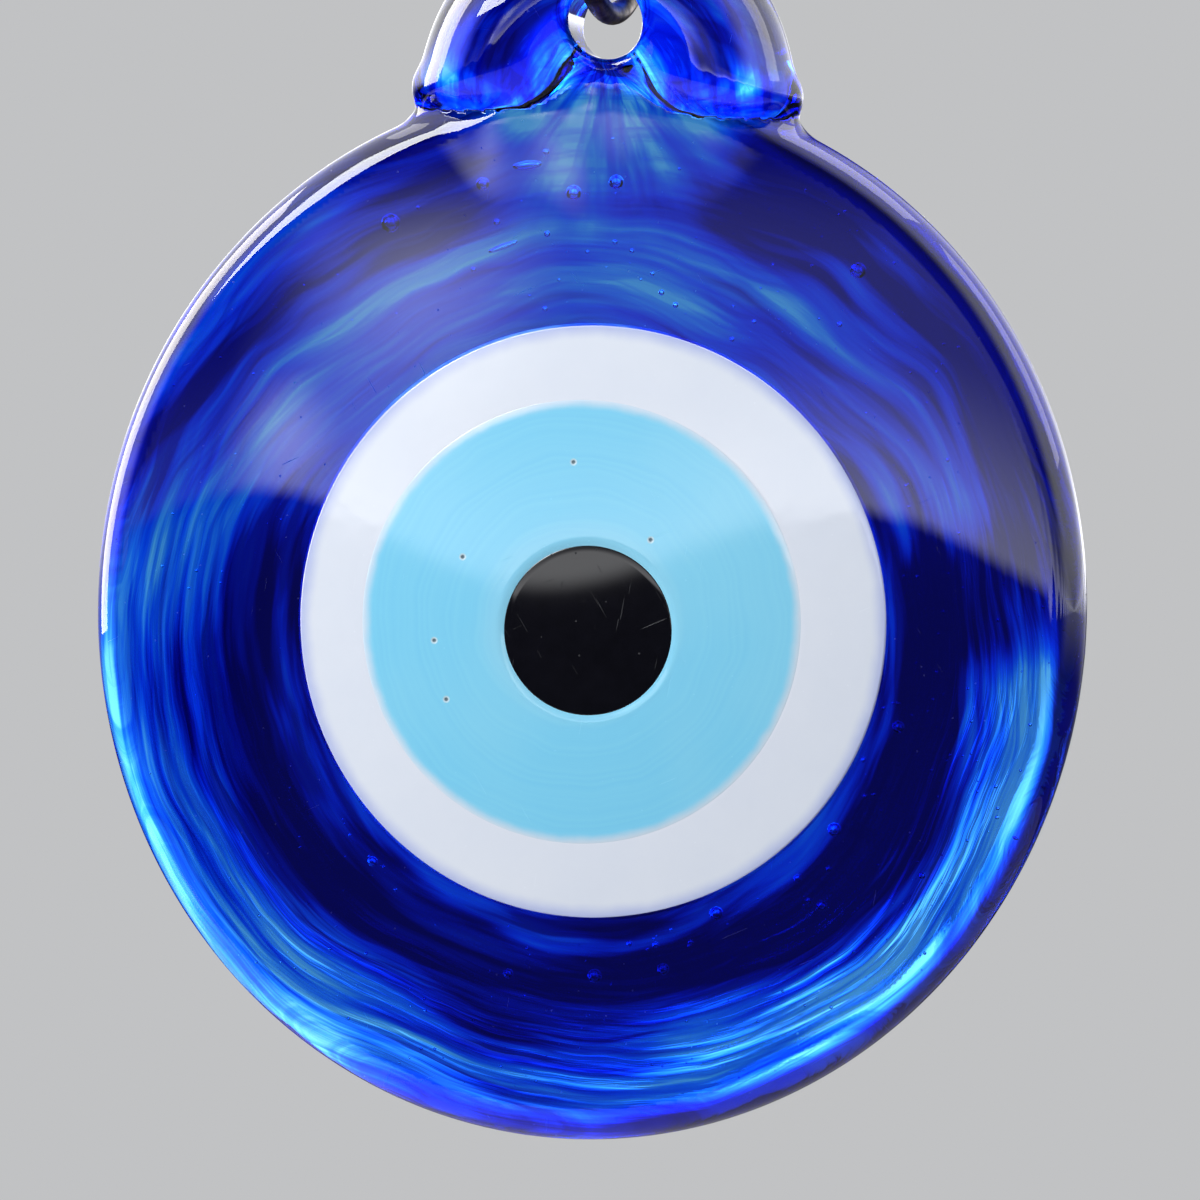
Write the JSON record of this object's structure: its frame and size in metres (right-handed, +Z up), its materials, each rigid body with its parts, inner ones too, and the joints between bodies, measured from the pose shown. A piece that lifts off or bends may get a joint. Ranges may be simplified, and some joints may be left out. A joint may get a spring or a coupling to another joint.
{
  "type": "evil eye pendant",
  "caption": "Egg-round cobalt glass eye charm with white, light blue and black glass pressed into its front, and a thick glass lug that hangs on a dark wire ring.",
  "frame": {"origin": "top of the inside of the wire ring, where the pendant hangs", "axes": "+Z up, away from the pendant; the eye faces -Y; +X to the right as the eye is seen"},
  "size_m": [0.05, 0.0202, 0.0759],
  "materials": {
    "cobalt_glass": "fire-polished clear cobalt blue with swirls and bubbles",
    "white_glass": "opaque, fire-polished",
    "light_blue_glass": "opaque, fire-polished",
    "black_glass": "opaque, fire-polished",
    "dark_wire": "dark oxidised wire, half gloss"
  },
  "bodies": {
    "ring": {"wire_ring": "dark_wire"},
    "pendant": {"glass_body": "cobalt_glass", "white_disc": "white_glass", "iris_disc": "light_blue_glass", "pupil": "black_glass"}
  },
  "joints": [
    {"name": "pendant_swing", "type": "hinge", "parent": "ring", "child": "pendant", "pos_m": [0, 0, -0.01796], "axis": [0, 1, 0], "range_deg": [-45, 45]}
  ]
}
